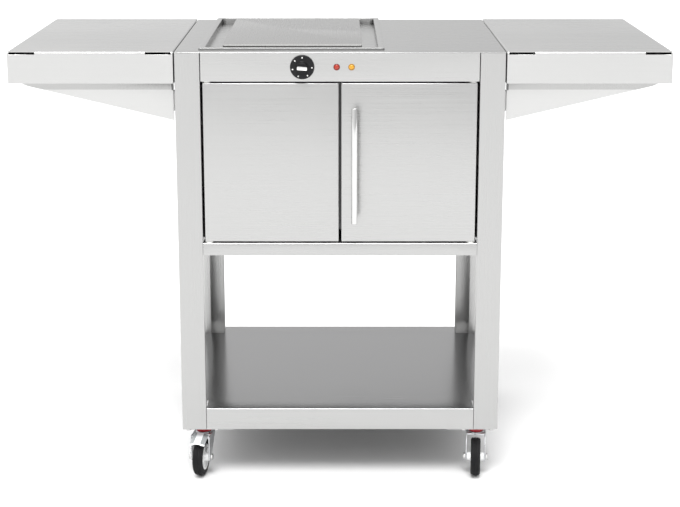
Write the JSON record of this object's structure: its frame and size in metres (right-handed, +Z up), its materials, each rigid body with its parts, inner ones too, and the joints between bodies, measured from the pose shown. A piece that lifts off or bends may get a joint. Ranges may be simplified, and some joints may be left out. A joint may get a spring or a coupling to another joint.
{
  "type": "flat top griddle",
  "caption": "Mobile stainless steel electric flat top griddle on a trolley with a two-door cabinet, bottom shelf and lift-off side shelves.",
  "frame": {"origin": "on the floor, under the middle of the trolley's bounding box", "axes": "+Z up, front with the doors and the knob towards -Y, +X to the right seen from the front"},
  "size_m": [1.3, 0.622, 0.894],
  "materials": {
    "brushed_panel": "brushed satin stainless steel",
    "brushed_top": "finely brushed stainless steel",
    "shelf_steel": "smooth satin stainless steel",
    "plate_steel": "ground steel cooking plate",
    "inner_steel": "mill finish stainless steel",
    "handle_steel": "round bar, fine circumferential polish",
    "zinc": "bright zinc plating",
    "element_sheath": "dark heat-tinted tube",
    "insulation": "matt mineral board",
    "black_plastic": "black phenolic moulding",
    "red_lens": "translucent red lens",
    "amber_lens": "translucent amber lens",
    "red_seal": "glossy red plastic",
    "grey_hub": "light grey moulding",
    "tyre_rubber": "black rubber",
    "white_nylon": "white nylon",
    "magnet_black": "coated magnet",
    "thermostat_brass": "plain",
    "wire_sleeve": "silicone sleeve",
    "terminal_ceramic": "white steatite",
    "gland_black": "black polyamide"
  },
  "bodies": {
    "frame": {"front_posts": "brushed_panel", "rear_posts": "brushed_panel", "worktop": "brushed_top", "control_panel": "brushed_panel", "side_panels": "brushed_panel", "rear_panel": "brushed_panel", "cabinet_floor": "brushed_panel", "cabinet_ceiling": "inner_steel", "centre_strip": "brushed_panel", "bottom_shelf": "shelf_steel", "catch_magnets": "magnet_black", "pivot_bushes": "white_nylon", "griddle_surround": "brushed_top", "cooking_plate": "plate_steel", "heating_elements": "element_sheath", "element_clamp": "inner_steel", "insulation_board": "insulation", "heat_shield": "inner_steel", "drain_spout": "inner_steel", "cup_rails": "inner_steel", "thermostat_body": "white_nylon", "thermostat_bulb": "thermostat_brass", "terminal_block": "terminal_ceramic", "wiring": "wire_sleeve", "cable_gland": "gland_black", "red_lamp": "red_lens", "amber_lamp": "amber_lens", "shelf_pockets": "inner_steel", "caster_plates": "zinc", "caster_seal_rings": "red_seal", "caster_bolts": "zinc"},
    "knob": {"knob_skirt": "black_plastic", "knob_grip": "black_plastic", "thermostat_shaft": "zinc"},
    "left_door": {"left_door_skin": "brushed_panel", "left_door_liner": "inner_steel", "left_door_pins": "zinc"},
    "right_door": {"right_door_skin": "brushed_panel", "right_door_liner": "inner_steel", "right_door_pins": "zinc", "door_handle": "handle_steel"},
    "left_shelf": {"left_shelf_top": "brushed_top", "left_shelf_brackets": "brushed_panel"},
    "right_shelf": {"right_shelf_top": "brushed_top", "right_shelf_brackets": "brushed_panel"},
    "grease_cup": {"grease_cup": "inner_steel"},
    "caster_swivel_front_left": {"caster_fork_front_left": "zinc"},
    "caster_wheel_front_left": {"caster_tyre_front_left": "tyre_rubber", "caster_hub_front_left": "grey_hub"},
    "brake_front_left": {"brake_pedal_front_left": "zinc"},
    "caster_swivel_front_right": {"caster_fork_front_right": "zinc"},
    "caster_wheel_front_right": {"caster_tyre_front_right": "tyre_rubber", "caster_hub_front_right": "grey_hub"},
    "caster_swivel_rear_left": {"caster_fork_rear_left": "zinc"},
    "caster_wheel_rear_left": {"caster_tyre_rear_left": "tyre_rubber", "caster_hub_rear_left": "grey_hub"},
    "caster_swivel_rear_right": {"caster_fork_rear_right": "zinc"},
    "caster_wheel_rear_right": {"caster_tyre_rear_right": "tyre_rubber", "caster_hub_rear_right": "grey_hub"},
    "brake_rear_right": {"brake_pedal_rear_right": "zinc"}
  },
  "joints": [
    {"name": "knob_turn", "type": "hinge", "parent": "frame", "child": "knob", "pos_m": [-0.074, -0.28, 0.861], "axis": [0, 1, 0], "range_deg": [0, 300]},
    {"name": "left_door_hinge", "type": "hinge", "parent": "frame", "child": "left_door", "pos_m": [-0.2625, -0.265, 0.668], "axis": [0, 0, -1], "range_deg": [0, 100]},
    {"name": "right_door_hinge", "type": "hinge", "parent": "frame", "child": "right_door", "pos_m": [0.2625, -0.265, 0.668], "axis": [0, 0, 1], "range_deg": [0, 100]},
    {"name": "left_shelf_lift", "type": "slide", "parent": "frame", "child": "left_shelf", "axis": [0, 0, 1], "range_m": [0, 0.15]},
    {"name": "right_shelf_lift", "type": "slide", "parent": "frame", "child": "right_shelf", "axis": [0, 0, 1], "range_m": [0, 0.15]},
    {"name": "grease_cup_slide", "type": "slide", "parent": "frame", "child": "grease_cup", "axis": [0, -1, 0], "range_m": [0, 0.055]},
    {"name": "swivel_front_left", "type": "hinge", "parent": "frame", "child": "caster_swivel_front_left", "pos_m": [-0.285, -0.23, 0.088], "axis": [0, 0, 1], "continuous": true},
    {"name": "wheel_front_left", "type": "hinge", "parent": "caster_swivel_front_left", "child": "caster_wheel_front_left", "pos_m": [-0.28952, -0.25561, 0.04], "axis": [0.9848, -0.1736, 0], "continuous": true},
    {"name": "brake_front_left", "type": "hinge", "parent": "caster_swivel_front_left", "child": "brake_front_left", "pos_m": [-0.29021, -0.25954, 0.0845], "axis": [-0.9848, 0.1736, 0], "range_deg": [0, 15]},
    {"name": "swivel_front_right", "type": "hinge", "parent": "frame", "child": "caster_swivel_front_right", "pos_m": [0.285, -0.23, 0.088], "axis": [0, 0, 1], "continuous": true},
    {"name": "wheel_front_right", "type": "hinge", "parent": "caster_swivel_front_right", "child": "caster_wheel_front_right", "pos_m": [0.28273, -0.2559, 0.04], "axis": [0.9962, -0.0872, 0], "continuous": true},
    {"name": "swivel_rear_left", "type": "hinge", "parent": "frame", "child": "caster_swivel_rear_left", "pos_m": [-0.285, 0.23, 0.088], "axis": [0, 0, 1], "continuous": true},
    {"name": "wheel_rear_left", "type": "hinge", "parent": "caster_swivel_rear_left", "child": "caster_wheel_rear_left", "pos_m": [-0.28093, 0.25568, 0.04], "axis": [-0.9877, 0.1564, 0], "continuous": true},
    {"name": "swivel_rear_right", "type": "hinge", "parent": "frame", "child": "caster_swivel_rear_right", "pos_m": [0.285, 0.23, 0.088], "axis": [0, 0, 1], "continuous": true},
    {"name": "wheel_rear_right", "type": "hinge", "parent": "caster_swivel_rear_right", "child": "caster_wheel_rear_right", "pos_m": [0.27959, 0.25543, 0.04], "axis": [-0.9781, -0.2079, 0], "continuous": true},
    {"name": "brake_rear_right", "type": "hinge", "parent": "caster_swivel_rear_right", "child": "brake_rear_right", "pos_m": [0.27876, 0.25934, 0.0845], "axis": [0.9781, 0.2079, 0], "range_deg": [0, 15]}
  ]
}
